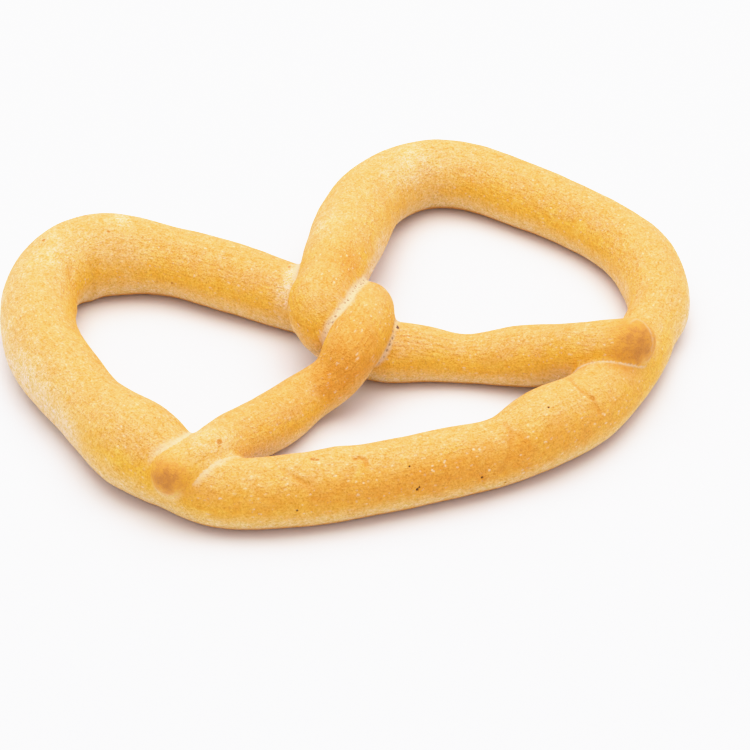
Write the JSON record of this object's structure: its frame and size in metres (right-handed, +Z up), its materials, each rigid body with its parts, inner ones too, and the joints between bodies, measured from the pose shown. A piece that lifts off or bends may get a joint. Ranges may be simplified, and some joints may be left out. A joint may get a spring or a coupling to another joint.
{
  "type": "soft pretzel",
  "caption": "Soft baked pretzel: a dough rope looped to both sides of a long front, its ends crossed in the middle and laid on the ring.",
  "frame": {"origin": "middle of the outline, on the flat sole", "axes": "+X along the width across both loops, +Y from the front towards the tops of the loops, +Z up"},
  "size_m": [0.2012, 0.162, 0.0302],
  "materials": {
    "crust": "golden baked crust, matt to satin"
  },
  "bodies": {
    "root": {"pretzel": "crust"}
  },
  "joints": []
}
